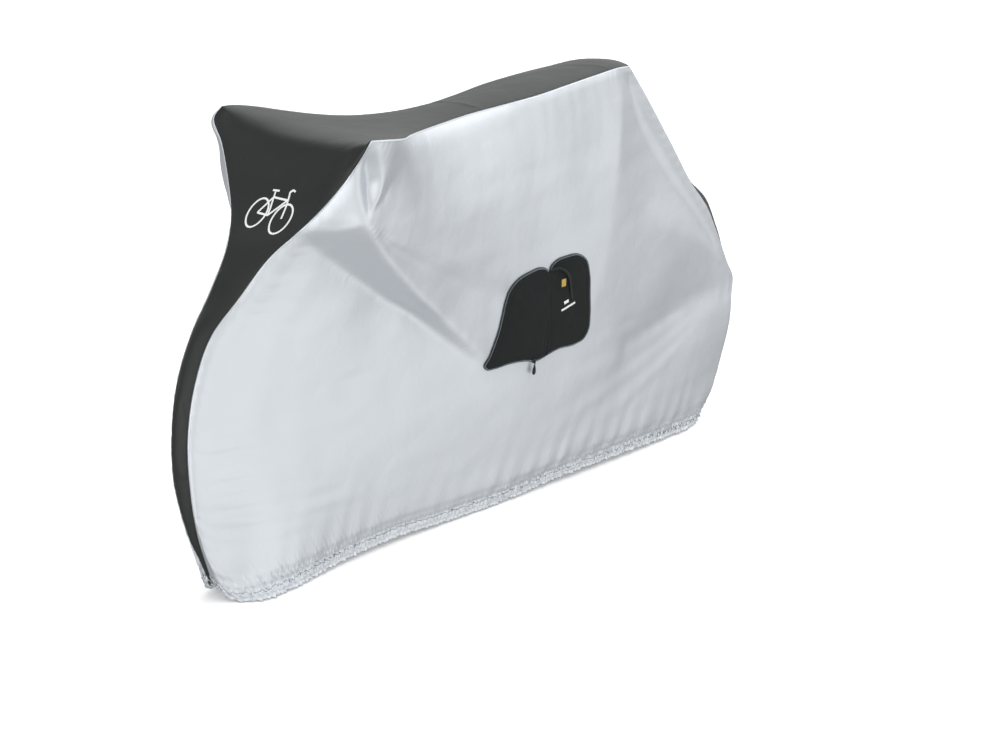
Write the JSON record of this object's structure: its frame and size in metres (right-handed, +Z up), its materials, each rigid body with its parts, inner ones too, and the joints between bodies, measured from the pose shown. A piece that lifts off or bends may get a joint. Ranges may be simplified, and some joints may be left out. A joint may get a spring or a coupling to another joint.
{
  "type": "bicycle cover",
  "caption": "Fitted cloth cover for a bicycle: silver side panels, a dark panel over the handlebar and saddle, a gathered hem and a zipped storage pouch that lies open.",
  "frame": {"origin": "on the ground under the middle of the cover", "axes": "+X along the cover towards the rear wheel, +Z up, -Y is the side with the storage pouch"},
  "size_m": [1.7795, 0.5254, 0.9923],
  "materials": {
    "silver_cloth": "coated taffeta, soft sheen",
    "charcoal_cloth": "coated taffeta, dull sheen",
    "pouch_cloth": "woven, matt",
    "zip_tape": "woven tape with a nylon coil",
    "slider_metal": "black enamel",
    "webbing": "woven tape",
    "label_cloth": "woven label"
  },
  "bodies": {
    "root": {"side_panel_near": "silver_cloth", "side_panel_far": "silver_cloth", "centre_panel": "charcoal_cloth", "pouch_leaf_front": "pouch_cloth", "pouch_leaf_rear": "pouch_cloth", "pouch_zip_front": "zip_tape", "pouch_zip_rear": "zip_tape", "pouch_slider": "slider_metal", "pouch_pull": "webbing", "pouch_strap": "webbing", "pouch_label": "label_cloth"}
  },
  "joints": []
}
